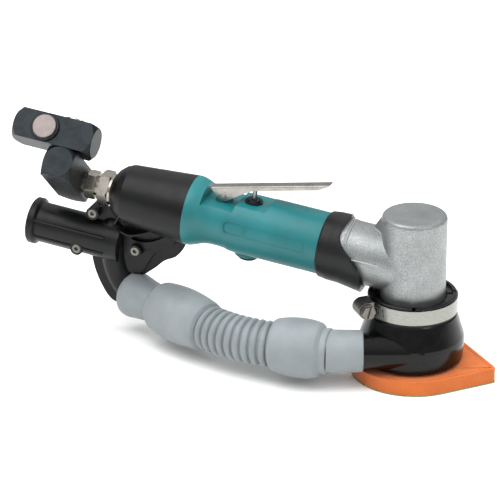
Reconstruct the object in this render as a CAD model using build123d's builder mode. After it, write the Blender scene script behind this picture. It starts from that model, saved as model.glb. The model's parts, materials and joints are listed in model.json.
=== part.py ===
from build123d import *
import math
import os

# Air-driven orbital detail sander. Millimetres, +Z up, +X forward to the pad's corner.
# The origin is on the motor's axis in the plane of the sanding face.

# ---------------------------------------------------------------- driving dimensions
RUNNING = 0.05          # radial clearance of turning fits
SEAT = 0.02             # radial clearance of pieces that are seated for good
OPEN_GAP = 0.3          # gap between pieces that pass without touching

ORBIT_OFFSET = 0.8      # eccentric throw of the pad

PAD_RADIUS = 38.1
PAD_CORNER_RADIUS = 3.0
PAD_THICKNESS = 9.5
PAD_FACE_THICKNESS = 0.8
BACKING_RADIUS = 24.0
BACKING_THICKNESS = 2.0
STUD_RADIUS = 3.9

HEAD_RADIUS = 20.0
HEAD_BOTTOM = 35.5
HEAD_TOP = 104.3
HEAD_RIM = 2.7
MOTOR_RADIUS = 17.45
ROTOR_RADIUS = 13.0
ROTOR_OFFSET = 1.2      # how far the motor cylinder's bore is off the rotor's axis
VANE_COUNT = 5
VANE_THICKNESS = 1.5
VANE_DEPTH = 6.0
LOWER_PLATE_BOTTOM = 41.0
LOWER_PLATE_HEIGHT = 9.0
ROTOR_LENGTH = 37.4
UPPER_PLATE_HEIGHT = 9.0

SHROUD_RADIUS = 32.2
SHROUD_WALL = 2.0
SHROUD_BOTTOM = 10.7
SHROUD_WIDEST = 25.0
COLLAR_RADIUS = 27.0
COLLAR_BOTTOM = 41.0
COLLAR_TOP = 53.5
COLLAR_RIM = 2.5
PORT_RADIUS = 11.15
PORT_WALL = 1.9
PORT_HEIGHT = 22.7
PORT_HEADING = 20.0     # degrees from +X
PORT_REACH = 31.0       # from abreast of the motor's axis out to the cuff's end

BAND_THICKNESS = 0.8
BAND_WIDTH = 9.2
BAND_BOTTOM = 42.6
CLAMP_ANGLE = 221.0
CLAMP_SCREW_RADIUS = 3.4

HANDLE_HEIGHT = 70.0    # where the handle's axis crosses the motor's axis
HANDLE_RISE = 6.5       # degrees, rearward
ARM_RADIUS = 19.0
ARM_END = 39.6
SPIGOT_RADIUS = 16.0
SPIGOT_END = 70.0
NUT_LENGTH = 6.0
NUT_RADIUS = 19.4
BOOT_RADIUS = 20.7
GRIP_START = 57.0
GRIP_RADIUS = 19.4
NECK_RADIUS = 18.0
FLARE_RADIUS = 22.0
GRIP_LENGTH = 87.3
GRIP_END = GRIP_START + GRIP_LENGTH
NECK_INSET = 17.3
NECK_AT = GRIP_END - NECK_INSET
CORE_FLAT = 9.8         # height of the core's flat under the throttle
INLET_RADIUS = 5.0
EXHAUST_RADIUS = 2.2
EXHAUST_CIRCLE = 9.8

PIN_INSET = 19.8
PIN_AT = GRIP_END - PIN_INSET
PIN_HEIGHT = 15.6
PIN_RADIUS = 1.5
LEVER_OPEN = 15.2       # degrees between the lever and the handle
LEVER_WIDTH = 7.4
LEVER_SHEET = 1.0
LEVER_TOP = 6.4
LEVER_REACH = 71.0
POCKET_FLOOR = 11.8
POCKET_LENGTH = 20.0
RECESS_FLOOR = 15.5
VALVE_SPACING = 19.0      # from the lever's pin to the valve
VALVE_AT = PIN_AT - VALVE_SPACING
RECESS_HALF = 11.0
RECESS_FRONT = VALVE_AT - RECESS_HALF
STEM_RADIUS = 1.5
VALVE_BORE = 4.0
REGULATOR_RADIUS = 6.3
REGULATOR_PROUD = 3.0

SLEEVE_LENGTH = 52.5
SLEEVE_END = GRIP_END + SLEEVE_LENGTH
CORE_INSET = 6.8
CORE_END = SLEEVE_END - CORE_INSET
SLEEVE_RADIUS = 18.2
ADAPTER_WALL = 2.2
OUTLET_DROP = 34.5      # from the handle's axis down to the outlet's
OUTLET_RADIUS = 12.8
OUTLET_LENGTH = 61.5
OUTLET_BORE = 10.6
OUTLET_OVERHANG = 52.7
OUTLET_END = SLEEVE_END + OUTLET_OVERHANG
FLANGE_RADIUS = 14.9
FLANGE_LENGTH = 4.8
THROAT_RADIUS = 3.6
BUSHING_NECK_RADIUS = 8.0
BRANCH_RADIUS = 8.0
BRANCH_BORE = 6.0
BRANCH_BEHIND = 1.5
BRANCH_DROP = 27.3       # height of the branch's bend above the hose
WEB_HALF = 2.0
BOSS_RADIUS = 4.2
SCREW_RADIUS = 1.5
SCREW_HEAD_RADIUS = 2.75

BAR = 19.05             # swivel bar stock, across flats
BAR_END_RADIUS = 9.4
BLOCK_SPACING = 29.2
BLOCK_AT = SLEEVE_END + BLOCK_SPACING
BLOCK_FRONT = 36.0
BLOCK_REAR = 16.0
SWIVEL_ROLL = 40.0      # degrees of the block's axis above the horizontal
ARM_OFF = 25.2          # from the nipple's axis to the arm's axis, along the block
BAR_GAP = 0.5
ARM_FORWARD = 16.4
ARM_REARWARD = 36.6
NIPPLE_JOURNAL = 6.4
ARM_STUD_RADIUS = 5.5
PLUG_RADIUS = 7.6
PLUG_AT = 15.3
INLET_THREAD_RADIUS = 5.8
INLET_THREAD_LENGTH = 13.0

HOSE_WALL = 2.0
CUFF_AHEAD = 12.4        # from the branch forward to the hose's mouth
REAR_CUFF_LENGTH = 70.0
FRONT_CUFF_LENGTH = 34.0
FRONT_HEADING = 2.8     # degrees from +X
SMALL_CUFF_LENGTH = 23.0
SMALL_CUFF_RADIUS = 12.9
BELLOWS_RADIUS = 14.2
BELLOWS_VALLEY = 11.9
RIDGE_COUNT = 9

# ---------------------------------------------------------------- frames
rise = math.radians(HANDLE_RISE)
rearward = Vector(-math.cos(rise), 0, math.sin(rise))
# In the side plane x is the distance rearward along the handle, y the height above its axis.
side = Plane(origin=(0, 0, HANDLE_HEIGHT), x_dir=rearward, z_dir=(0, 1, 0))
above = side.y_dir
BRANCH_AT = -SLEEVE_END * math.cos(rise) - BRANCH_BEHIND
BRANCH_BEND_TOP = PORT_HEIGHT + BRANCH_DROP
web_height = HANDLE_HEIGHT + SLEEVE_END * math.sin(rise) - PORT_HEIGHT
# In an upright section x is the height and y the radius, about a vertical axis.
spindle_section = Plane(origin=(0, 0, 0), x_dir=(0, 0, 1), z_dir=(0, 1, 0))
pad_section = Plane(origin=(ORBIT_OFFSET, 0, 0), x_dir=(0, 0, 1), z_dir=(0, 1, 0))


def at(plane, x, y=0.0, z=0.0):
    """A plane's local point in the model's frame."""
    return plane.from_local_coords(Vector(x, y, z))


def across(plane, x, y=0.0):
    """The plane square to another plane's x axis, at a local point."""
    return Plane(origin=at(plane, x, y), x_dir=plane.y_dir, z_dir=plane.x_dir)


def lathe(plane, *points, mode=Mode.ADD):
    """Turns a closed outline of (along, radius) points about the plane's x axis."""
    with BuildSketch(plane) as outline:
        with BuildLine():
            Polyline(*points, close=True)
        make_face()
    revolve(outline.sketch, axis=Axis(plane.origin, plane.x_dir), mode=mode)


def rod(plane, start, end, radius, y=0.0, mode=Mode.ADD):
    """A cylinder along the plane's x axis, from start to end."""
    with BuildSketch(across(plane, start, y)) as outline:
        Circle(radius)
    extrude(outline.sketch, amount=end - start, mode=mode)


def tube(plane, start, end, inner, outer):
    """A plain ring along the plane's x axis."""
    lathe(plane, (start, inner), (end, inner), (end, outer), (start, outer))


def plate(plane, points, half, mode=Mode.ADD):
    """A closed outline in the plane, thickened to both sides."""
    with BuildSketch(plane) as outline:
        with BuildLine():
            Polyline(*points, close=True)
        make_face()
    extrude(outline.sketch, amount=half, both=True, mode=mode)


def finish(part, name):
    """Labels a finished piece and writes it."""
    part.label = name
    export_step(part, f"parts/{name}.step")


def ball_bearing(plane, start, width, bore, outside, balls, names):
    """A deep-groove ball bearing: outer ring, inner ring and its balls."""
    pitch = (bore + outside) / 2
    ball = 0.27 * (outside - bore)
    shoulder = 0.55 * ball
    middle = start + width / 2
    rings = ((pitch + shoulder, outside), (bore, pitch - shoulder))
    for name, (inner, outer) in zip(names, rings):
        with BuildPart() as ring:
            tube(plane, start, start + width, inner, outer)
            with BuildSketch(plane) as groove:
                with Locations((middle, pitch)):
                    Circle(ball + RUNNING)
            axis = Axis(plane.origin, plane.x_dir)
            revolve(groove.sketch, axis=axis, mode=Mode.SUBTRACT)
        finish(ring.part, name)
    with BuildPart() as ball_set:
        with Locations(Plane(at(plane, middle), x_dir=plane.y_dir, z_dir=plane.x_dir)):
            with PolarLocations(pitch, balls):
                Sphere(ball)
    finish(ball_set.part, names[2])


os.makedirs("parts", exist_ok=True)

# ---------------------------------------------------------------- sanding pad
foam_top = PAD_THICKNESS
plate_bottom = PAD_THICKNESS - BACKING_THICKNESS
corner = PAD_RADIUS * math.sqrt(2)
tangent = PAD_RADIUS / math.sqrt(2)


def pad_outline(plane):
    """The round pad drawn out to a square corner that points forward."""
    with BuildSketch(plane) as outline:
        Circle(PAD_RADIUS)
        Polygon((0, 0), (tangent, -tangent), (corner, 0), (tangent, tangent), align=None)
        tip = outline.vertices().sort_by(Axis.X)[-1]
        fillet(tip, radius=PAD_CORNER_RADIUS)
    return outline.sketch


pad_base = Plane(origin=(ORBIT_OFFSET, 0, 0))
with BuildPart() as pad_face:
    extrude(pad_outline(pad_base), amount=PAD_FACE_THICKNESS)
finish(pad_face.part, "pad_face")

with BuildPart() as pad_foam:
    extrude(pad_outline(pad_base.offset(PAD_FACE_THICKNESS)), amount=foam_top - PAD_FACE_THICKNESS)
    rod(pad_section, plate_bottom, foam_top, BACKING_RADIUS + SEAT, mode=Mode.SUBTRACT)
finish(pad_foam.part, "pad_foam")

STUD_HEAD_RADIUS = 8.0
STUD_HEAD_HEIGHT = 1.0
FLANGE_TOP = 13.0
STUD_TOP = 19.5
with BuildPart() as backing_plate:
    tube(pad_section, plate_bottom, foam_top, STUD_RADIUS + SEAT, BACKING_RADIUS)
    rod(
        pad_section, plate_bottom, plate_bottom + STUD_HEAD_HEIGHT, STUD_HEAD_RADIUS + SEAT,
        mode=Mode.SUBTRACT,
    )
finish(backing_plate.part, "backing_plate")

with BuildPart() as pad_stud:
    rod(pad_section, plate_bottom, plate_bottom + STUD_HEAD_HEIGHT, STUD_HEAD_RADIUS)
    rod(pad_section, plate_bottom, STUD_TOP, STUD_RADIUS)
finish(pad_stud.part, "pad_stud")

# ---------------------------------------------------------------- pad spindle and its bearing
PAD_BEARING_BORE = 6.0
PAD_BEARING_OUTSIDE = 12.0
PAD_BEARING_WIDTH = 6.0
CLIP_THICKNESS = 0.8
pad_bearing_bottom = FLANGE_TOP + 2.5
pad_bearing_top = pad_bearing_bottom + PAD_BEARING_WIDTH
spindle_top = pad_bearing_top + 2 * CLIP_THICKNESS
spindle_groove = PAD_BEARING_BORE - 0.6
with BuildPart() as pad_spindle:
    lathe(
        pad_section,
        (foam_top, STUD_RADIUS + SEAT),
        (foam_top, 10.0),
        (FLANGE_TOP, 10.0),
        (FLANGE_TOP, PAD_BEARING_BORE + 1.2),
        (pad_bearing_bottom, PAD_BEARING_BORE + 1.2),
        (pad_bearing_bottom, PAD_BEARING_BORE - SEAT),
        (pad_bearing_top, PAD_BEARING_BORE - SEAT),
        (pad_bearing_top, spindle_groove),
        (pad_bearing_top + CLIP_THICKNESS, spindle_groove),
        (pad_bearing_top + CLIP_THICKNESS, PAD_BEARING_BORE - SEAT),
        (spindle_top, PAD_BEARING_BORE - SEAT),
        (spindle_top, 0),
        (STUD_TOP + OPEN_GAP, 0),
        (STUD_TOP + OPEN_GAP, STUD_RADIUS + SEAT),
    )
finish(pad_spindle.part, "pad_spindle")

with BuildPart() as spindle_clip:
    tube(
        pad_section, pad_bearing_top, pad_bearing_top + CLIP_THICKNESS, spindle_groove + SEAT,
        PAD_BEARING_BORE + 1.3,
    )
finish(spindle_clip.part, "spindle_clip")

ball_bearing(
    pad_section, pad_bearing_bottom, PAD_BEARING_WIDTH, PAD_BEARING_BORE, PAD_BEARING_OUTSIDE, 10,
    ("pad_bearing_outer", "pad_bearing_inner", "pad_bearing_balls"),
)

# ---------------------------------------------------------------- shaft balancer
BALANCER_RADIUS = 15.6
LOBE_RADIUS = 21.0
BALANCER_TOP = 27.0
SHAFT_NECK = 6.0
SHAFT_LOWER = 4.0
SHAFT_UPPER = 3.0
LOWER_BEARING_WIDTH = 7.0
LOWER_BEARING_OUTSIDE = 11.0
UPPER_BEARING_WIDTH = 6.0
UPPER_BEARING_OUTSIDE = 9.5
lower_plate_top = LOWER_PLATE_BOTTOM + LOWER_PLATE_HEIGHT
rotor_bottom = lower_plate_top + OPEN_GAP
rotor_top = rotor_bottom + ROTOR_LENGTH
upper_plate_bottom = rotor_top + OPEN_GAP
upper_plate_top = upper_plate_bottom + UPPER_PLATE_HEIGHT
upper_bearing_bottom = upper_plate_top - UPPER_BEARING_WIDTH
balancer_bottom = FLANGE_TOP + 1.2
clip_bottom = pad_bearing_bottom - CLIP_THICKNESS
pocket_top = spindle_top + OPEN_GAP
with BuildPart() as shaft_balancer:
    lathe(
        spindle_section,
        (balancer_bottom, 0),
        (balancer_bottom, BALANCER_RADIUS),
        (BALANCER_TOP, BALANCER_RADIUS),
        (BALANCER_TOP + 3, SHAFT_NECK + 3),
        (BALANCER_TOP + 6, SHAFT_NECK),
        (LOWER_PLATE_BOTTOM, SHAFT_NECK),
        (LOWER_PLATE_BOTTOM, SHAFT_LOWER - SEAT),
        (rotor_top, SHAFT_LOWER - SEAT),
        (rotor_top, SHAFT_UPPER - SEAT),
        (upper_plate_top, SHAFT_UPPER - SEAT),
        (upper_plate_top, 0),
    )
    with BuildSketch(Plane.XY.offset(balancer_bottom + 3)) as lobe:
        Circle(LOBE_RADIUS)
        Circle(BALANCER_RADIUS - 1, mode=Mode.SUBTRACT)
        with Locations((LOBE_RADIUS / 2 + 3, 0)):
            Rectangle(LOBE_RADIUS + 10, 3 * LOBE_RADIUS, mode=Mode.SUBTRACT)
    extrude(lobe.sketch, amount=BALANCER_TOP - balancer_bottom - 3)
    rod(pad_section, balancer_bottom, pad_bearing_top, PAD_BEARING_OUTSIDE + SEAT, mode=Mode.SUBTRACT)
    rod(pad_section, clip_bottom, pad_bearing_bottom, PAD_BEARING_OUTSIDE + 0.9, mode=Mode.SUBTRACT)
    rod(pad_section, pad_bearing_top, pocket_top, PAD_BEARING_OUTSIDE - 1.5, mode=Mode.SUBTRACT)
finish(shaft_balancer.part, "shaft_balancer")

with BuildPart() as balancer_clip:
    tube(
        pad_section, clip_bottom, pad_bearing_bottom, PAD_BEARING_OUTSIDE - 1.0,
        PAD_BEARING_OUTSIDE + 0.9 - SEAT,
    )
finish(balancer_clip.part, "balancer_clip")

# ---------------------------------------------------------------- vane motor
ball_bearing(
    spindle_section, LOWER_PLATE_BOTTOM, LOWER_BEARING_WIDTH, SHAFT_LOWER, LOWER_BEARING_OUTSIDE, 7,
    ("lower_bearing_outer", "lower_bearing_inner", "lower_bearing_balls"),
)
ball_bearing(
    spindle_section, upper_bearing_bottom, UPPER_BEARING_WIDTH, SHAFT_UPPER, UPPER_BEARING_OUTSIDE, 7,
    ("upper_bearing_outer", "upper_bearing_inner", "upper_bearing_balls"),
)

vane_middle = ROTOR_RADIUS - VANE_DEPTH / 2
with BuildPart() as rotor:
    tube(spindle_section, rotor_bottom, rotor_top, SHAFT_LOWER, ROTOR_RADIUS)
    with BuildSketch(Plane.XY.offset(rotor_bottom)) as slots:
        with PolarLocations(vane_middle, VANE_COUNT):
            Rectangle(VANE_DEPTH + 2 * SEAT + 1.0, VANE_THICKNESS + 2 * SEAT)
    extrude(slots.sketch, amount=ROTOR_LENGTH, mode=Mode.SUBTRACT)
finish(rotor.part, "rotor")

with BuildPart() as rotor_vanes:
    with BuildSketch(Plane.XY.offset(rotor_bottom)) as vanes:
        with PolarLocations(vane_middle - 0.1, VANE_COUNT):
            Rectangle(VANE_DEPTH, VANE_THICKNESS)
    extrude(vanes.sketch, amount=ROTOR_LENGTH)
finish(rotor_vanes.part, "rotor_vanes")

motor_bore = ROTOR_RADIUS + ROTOR_OFFSET + OPEN_GAP
EXHAUST_ANGLES = (45, 135, 225, 315)


def air_ways(start, end, inlet, exhaust):
    """Cuts the handle's central inlet passage and the exhaust passages round it."""
    rod(side, start, end, inlet, mode=Mode.SUBTRACT)
    with BuildSketch(across(side, start)) as ways:
        with PolarLocations(EXHAUST_CIRCLE, len(EXHAUST_ANGLES), start_angle=EXHAUST_ANGLES[0]):
            Circle(exhaust)
    extrude(ways.sketch, amount=end - start, mode=Mode.SUBTRACT)


with BuildPart() as motor_cylinder:
    rod(spindle_section, lower_plate_top, upper_plate_bottom, MOTOR_RADIUS)
    bore_axis = Plane(origin=(ROTOR_OFFSET, 0, 0), x_dir=(0, 0, 1), z_dir=(0, 1, 0))
    rod(bore_axis, lower_plate_top, upper_plate_bottom, motor_bore, mode=Mode.SUBTRACT)
    rod(side, 0, MOTOR_RADIUS + 1, INLET_RADIUS - 1, mode=Mode.SUBTRACT)
finish(motor_cylinder.part, "motor_cylinder")

with BuildPart() as lower_end_plate:
    tube(spindle_section, LOWER_PLATE_BOTTOM, lower_plate_top, SHAFT_LOWER + OPEN_GAP, MOTOR_RADIUS)
    rod(
        spindle_section, LOWER_PLATE_BOTTOM, LOWER_PLATE_BOTTOM + LOWER_BEARING_WIDTH,
        LOWER_BEARING_OUTSIDE + SEAT, mode=Mode.SUBTRACT,
    )
    rod(
        spindle_section, LOWER_PLATE_BOTTOM, lower_plate_top - 1,
        LOWER_BEARING_OUTSIDE - 2, mode=Mode.SUBTRACT,
    )
finish(lower_end_plate.part, "lower_end_plate")

with BuildPart() as upper_end_plate:
    tube(spindle_section, upper_plate_bottom, upper_plate_top, SHAFT_LOWER + OPEN_GAP, MOTOR_RADIUS)
    rod(
        spindle_section, upper_bearing_bottom, upper_plate_top,
        UPPER_BEARING_OUTSIDE + SEAT, mode=Mode.SUBTRACT,
    )
    rod(
        spindle_section, upper_bearing_bottom - 1, upper_plate_top,
        UPPER_BEARING_OUTSIDE - 2, mode=Mode.SUBTRACT,
    )
finish(upper_end_plate.part, "upper_end_plate")

with BuildPart() as motor_lock_ring:
    tube(spindle_section, HEAD_BOTTOM + 1, LOWER_PLATE_BOTTOM, LOWER_BEARING_OUTSIDE - 1.2, MOTOR_RADIUS)
finish(motor_lock_ring.part, "motor_lock_ring")

# ---------------------------------------------------------------- cast head
GUSSET_BOTTOM = 79.0
GUSSET_TOP = 101.0
GUSSET_REACH = 34.3
GUSSET_HALF = 18.0
GUSSET_ROOT = 9.0
GUSSET_LEAN = 14.3
PARTING_RIDGE = 0.25
PARTING_HEIGHT = 2.5
PARTING_HALF = 0.45
with BuildPart() as head_casting:
    rod(spindle_section, HEAD_BOTTOM, HEAD_TOP, HEAD_RADIUS)
    fillet(head_casting.edges().group_by(Axis.Z)[-1], radius=HEAD_RIM)
    rod(side, 0, ARM_END, ARM_RADIUS)
    with BuildSketch(Plane.XY.offset(GUSSET_BOTTOM)):
        Polygon(
            (-GUSSET_REACH, 0), (-GUSSET_ROOT, -GUSSET_HALF), (-GUSSET_ROOT, GUSSET_HALF), align=None
        )
    with BuildSketch(Plane.XY.offset(GUSSET_TOP)):
        Polygon(
            (GUSSET_LEAN - GUSSET_REACH, 0), (GUSSET_LEAN - GUSSET_ROOT, -GUSSET_HALF),
            (GUSSET_LEAN - GUSSET_ROOT, GUSSET_HALF), align=None,
        )
    loft()
    with BuildPart(mode=Mode.PRIVATE) as ridge:
        rod(side, HEAD_RADIUS - 2, ARM_END - 2, ARM_RADIUS + PARTING_RIDGE)
        with BuildSketch(across(side, 0, PARTING_HEIGHT)) as slab:
            Rectangle(2 * PARTING_HALF, 4 * ARM_RADIUS)
        extrude(slab.sketch, amount=ARM_END, mode=Mode.INTERSECT)
    add(ridge.part)
    rod(side, ARM_END - 1, SPIGOT_END, SPIGOT_RADIUS)
    rod(spindle_section, HEAD_BOTTOM, upper_plate_top, MOTOR_RADIUS + SEAT, mode=Mode.SUBTRACT)
    rod(spindle_section, upper_plate_top, upper_plate_top + 2, UPPER_BEARING_OUTSIDE, mode=Mode.SUBTRACT)
    air_ways(0, SPIGOT_END, INLET_RADIUS, EXHAUST_RADIUS)
finish(head_casting.part, "head_casting")

# ---------------------------------------------------------------- shroud and its clamp
port_heading = math.radians(PORT_HEADING)
port_direction = Vector(math.cos(port_heading), math.sin(port_heading), 0)
# The port enters the shroud at a tangent.
port_side = SHROUD_RADIUS - PORT_RADIUS
port_foot = Vector(math.sin(port_heading), -math.cos(port_heading), 0) * port_side + Vector(0, 0, PORT_HEIGHT)
port_section = Plane(origin=port_foot, x_dir=port_direction, z_dir=(0, 0, 1))
SLOT_WIDTH = 2.0
SLOT_COUNT = 4
inner_top = COLLAR_TOP - 1.6
with BuildPart() as shroud:
    lathe(
        spindle_section,
        (SHROUD_BOTTOM, SHROUD_RADIUS - 0.9 - SHROUD_WALL),
        (SHROUD_BOTTOM, SHROUD_RADIUS - 1.5),
        (SHROUD_BOTTOM + 0.8, SHROUD_RADIUS - 0.7),
        (SHROUD_WIDEST - 2, SHROUD_RADIUS),
        (SHROUD_WIDEST + 1, SHROUD_RADIUS - 0.3),
        (COLLAR_BOTTOM - 1, COLLAR_RADIUS + 0.6),
        (COLLAR_BOTTOM, COLLAR_RADIUS),
        (COLLAR_TOP - 0.6, COLLAR_RADIUS),
        (COLLAR_TOP, COLLAR_RADIUS - 0.6),
        (COLLAR_TOP, COLLAR_RADIUS - COLLAR_RIM),
        (inner_top, COLLAR_RADIUS - COLLAR_RIM - 0.6),
        (inner_top, HEAD_RADIUS + 1.2),
        (inner_top - 0.8, HEAD_RADIUS + SEAT),
        (COLLAR_BOTTOM, HEAD_RADIUS + SEAT),
        (COLLAR_BOTTOM - 2, COLLAR_RADIUS - SHROUD_WALL),
        (SHROUD_WIDEST, SHROUD_RADIUS - SHROUD_WALL),
    )
    with BuildPart(mode=Mode.PRIVATE) as port:
        rod(port_section, -PORT_REACH - 12, 6, PORT_RADIUS)
        rod(spindle_section, 0, COLLAR_BOTTOM, SHROUD_RADIUS - SHROUD_WALL - 0.1, mode=Mode.SUBTRACT)
        biggest = port.solids().sort_by(SortBy.VOLUME)[-1]
    add(biggest)
    rod(port_section, -PORT_REACH - 12, 0, PORT_RADIUS - PORT_WALL, mode=Mode.SUBTRACT)
    with BuildSketch(Plane.XY.offset(BAND_BOTTOM)) as relief:
        with PolarLocations((COLLAR_RADIUS + HEAD_RADIUS) / 2 + 1, SLOT_COUNT, start_angle=45 - 90 * 0.3):
            Rectangle(COLLAR_RADIUS - HEAD_RADIUS, SLOT_WIDTH)
    extrude(relief.sketch, amount=COLLAR_TOP, mode=Mode.SUBTRACT)
finish(shroud.part, "shroud")

band_inner = COLLAR_RADIUS + SEAT
band_outer = band_inner + BAND_THICKNESS
band_top = BAND_BOTTOM + BAND_WIDTH
band_middle = BAND_BOTTOM + BAND_WIDTH / 2
PERFORATION = 0.8
with BuildPart() as clamp_band:
    tube(spindle_section, BAND_BOTTOM, band_top, band_inner, band_outer)
    for step in range(-6, 7):
        turn = CLAMP_ANGLE + 4.2 * step
        slot_plane = Plane(
            origin=(0, 0, band_middle),
            x_dir=(0, 0, 1),
            z_dir=(math.cos(math.radians(turn)), math.sin(math.radians(turn)), 0),
        )
        with BuildSketch(slot_plane) as slot:
            SlotOverall(BAND_WIDTH - 2.6, PERFORATION, rotation=12)
        extrude(slot.sketch, amount=COLLAR_RADIUS + 3, mode=Mode.SUBTRACT)
finish(clamp_band.part, "clamp_band")

clamp_out = Vector(math.cos(math.radians(CLAMP_ANGLE)), math.sin(math.radians(CLAMP_ANGLE)), 0)
clamp_along = Vector(0, 0, 1).cross(clamp_out)
SCREW_HEAD_SIZE = 4.6
SCREW_HEAD_LENGTH = 3.0
SLOT_DEPTH = 1.4
HOUSING_RADIUS = 5.2
HOUSING_HALF = 5.5
screw_distance = band_outer + SCREW_HEAD_SIZE + OPEN_GAP
# x runs along the clamp screw, towards its head.
clamp_section = Plane(
    origin=clamp_out * screw_distance + Vector(0, 0, band_middle), x_dir=clamp_along, z_dir=(0, 0, 1)
)
with BuildPart() as clamp_housing:
    rod(clamp_section, -HOUSING_HALF, HOUSING_HALF, HOUSING_RADIUS)
    with BuildSketch(across(clamp_section, -HOUSING_HALF)) as saddle:
        with Locations((CLAMP_SCREW_RADIUS / 2, 0)):
            Rectangle(CLAMP_SCREW_RADIUS + 2.5, BAND_WIDTH + 1.4)
    extrude(saddle.sketch, amount=2 * HOUSING_HALF)
    rod(clamp_section, -HOUSING_HALF, HOUSING_HALF, CLAMP_SCREW_RADIUS + RUNNING, mode=Mode.SUBTRACT)
    rod(spindle_section, BAND_BOTTOM - 3, band_top + 3, band_outer + SEAT, mode=Mode.SUBTRACT)
finish(clamp_housing.part, "clamp_housing")

with BuildPart() as clamp_screw:
    rod(clamp_section, -HOUSING_HALF, HOUSING_HALF + OPEN_GAP, CLAMP_SCREW_RADIUS)
    with BuildSketch(across(clamp_section, HOUSING_HALF + OPEN_GAP)) as head:
        RegularPolygon(SCREW_HEAD_SIZE, 6)
    extrude(head.sketch, amount=SCREW_HEAD_LENGTH)
    rod(clamp_section, HOUSING_HALF + OPEN_GAP, HOUSING_HALF + OPEN_GAP + 1, SCREW_HEAD_SIZE)
    slot_start = HOUSING_HALF + OPEN_GAP + SCREW_HEAD_LENGTH - SLOT_DEPTH
    with BuildSketch(across(clamp_section, slot_start)) as slot:
        Rectangle(3 * SCREW_HEAD_SIZE, 1.2, rotation=75)
    extrude(slot.sketch, amount=SLOT_DEPTH, mode=Mode.SUBTRACT)
finish(clamp_screw.part, "clamp_screw")

# ---------------------------------------------------------------- ring nut, boot, grip and core
nut_end = ARM_END + NUT_LENGTH
seated = SPIGOT_RADIUS + SEAT
with BuildPart() as ring_nut:
    tube(side, ARM_END, nut_end, seated, NUT_RADIUS)
    with BuildSketch(side) as nut_groove:
        with Locations((ARM_END + 1.6, NUT_RADIUS)):
            Rectangle(0.9, 1.0)
    revolve(nut_groove.sketch, axis=Axis(side.origin, side.x_dir), mode=Mode.SUBTRACT)
    chamfer(ring_nut.faces().sort_by(Axis.X)[-1].outer_wire().edges(), length=0.5)
finish(ring_nut.part, "ring_nut")

BOOT_CUT = 40.0
with BuildPart() as front_boot:
    lathe(
        side,
        (24, NUT_RADIUS + 0.1),
        (24, BOOT_RADIUS + 3.6),
        (ARM_END + 4, BOOT_RADIUS + 0.9),
        (GRIP_START - 6, BOOT_RADIUS + 0.7),
        (GRIP_START - 1, BOOT_RADIUS),
        (GRIP_START, BOOT_RADIUS - 0.8),
        (GRIP_START, seated),
        (nut_end + 0.2, seated),
        (nut_end + 0.2, NUT_RADIUS + 0.1),
    )
    with BuildSketch(side) as front_edge:
        with BuildLine():
            Spline(
                (ARM_END + 4, BOOT_CUT),
                (ARM_END + 4, 21),
                (ARM_END + 5.4, 16),
                (ARM_END - 1, 6.6),
                (ARM_END - 9, -0.5),
                (ARM_END - 12.6, -8),
                (ARM_END - 11.8, -19),
                (ARM_END - 10, -BOOT_CUT),
            )
            Polyline((ARM_END - 10, -BOOT_CUT), (0, -BOOT_CUT), (0, BOOT_CUT), (ARM_END + 4, BOOT_CUT))
        make_face()
    extrude(front_edge.sketch, amount=BOOT_CUT, both=True, mode=Mode.SUBTRACT)
finish(front_boot.part, "front_boot")

valve_section = Plane(origin=at(side, VALVE_AT), x_dir=above, z_dir=(0, 1, 0))
pocket_front = PIN_AT - POCKET_LENGTH / 2
pocket_rear = PIN_AT + POCKET_LENGTH / 2 + 0.8
flat_front = RECESS_FRONT - 8
flat_rear = pocket_rear + 2.5
TALL = 40.0
PLUNGER_BOTTOM = -9.0
REGULATOR_SEAT = -13.0


def core_body(start, radius, flat):
    """The handle's metal core, flattened on top under the throttle."""
    with BuildPart() as body:
        rod(side, start, CORE_END, radius)
        plate(
            side, ((flat_front, flat), (flat_rear, flat), (flat_rear, TALL), (flat_front, TALL)), TALL,
            mode=Mode.SUBTRACT,
        )
    return body.part


core_solid = core_body(SPIGOT_END + 0.1, SPIGOT_RADIUS, CORE_FLAT)
core_space = core_body(GRIP_START - 1, seated, CORE_FLAT + SEAT)
BUSHING_THREAD_RADIUS = 7.0
BUSHING_THREAD_LENGTH = 12.0
WINDOW_START = GRIP_END + 8
WINDOW_END = GRIP_END + 22
with BuildPart() as handle_core:
    add(core_solid)
    air_ways(SPIGOT_END, WINDOW_END, INLET_RADIUS, EXHAUST_RADIUS)
    rod(side, WINDOW_END - 1, CORE_END, INLET_RADIUS, mode=Mode.SUBTRACT)
    rod(side, CORE_END - BUSHING_THREAD_LENGTH, CORE_END, BUSHING_THREAD_RADIUS + SEAT, mode=Mode.SUBTRACT)
    for height in (-SPIGOT_RADIUS, SPIGOT_RADIUS):
        half_way = height * 0.45
        plate(
            side,
            (
                (WINDOW_START, half_way), (WINDOW_END, half_way),
                (WINDOW_END, 2 * height), (WINDOW_START, 2 * height),
            ),
            SPIGOT_RADIUS, mode=Mode.SUBTRACT,
        )
    rod(valve_section, PLUNGER_BOTTOM, TALL, VALVE_BORE + SEAT, mode=Mode.SUBTRACT)
    rod(valve_section, -TALL, REGULATOR_SEAT, REGULATOR_RADIUS + RUNNING, mode=Mode.SUBTRACT)
finish(handle_core.part, "handle_core")

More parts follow.
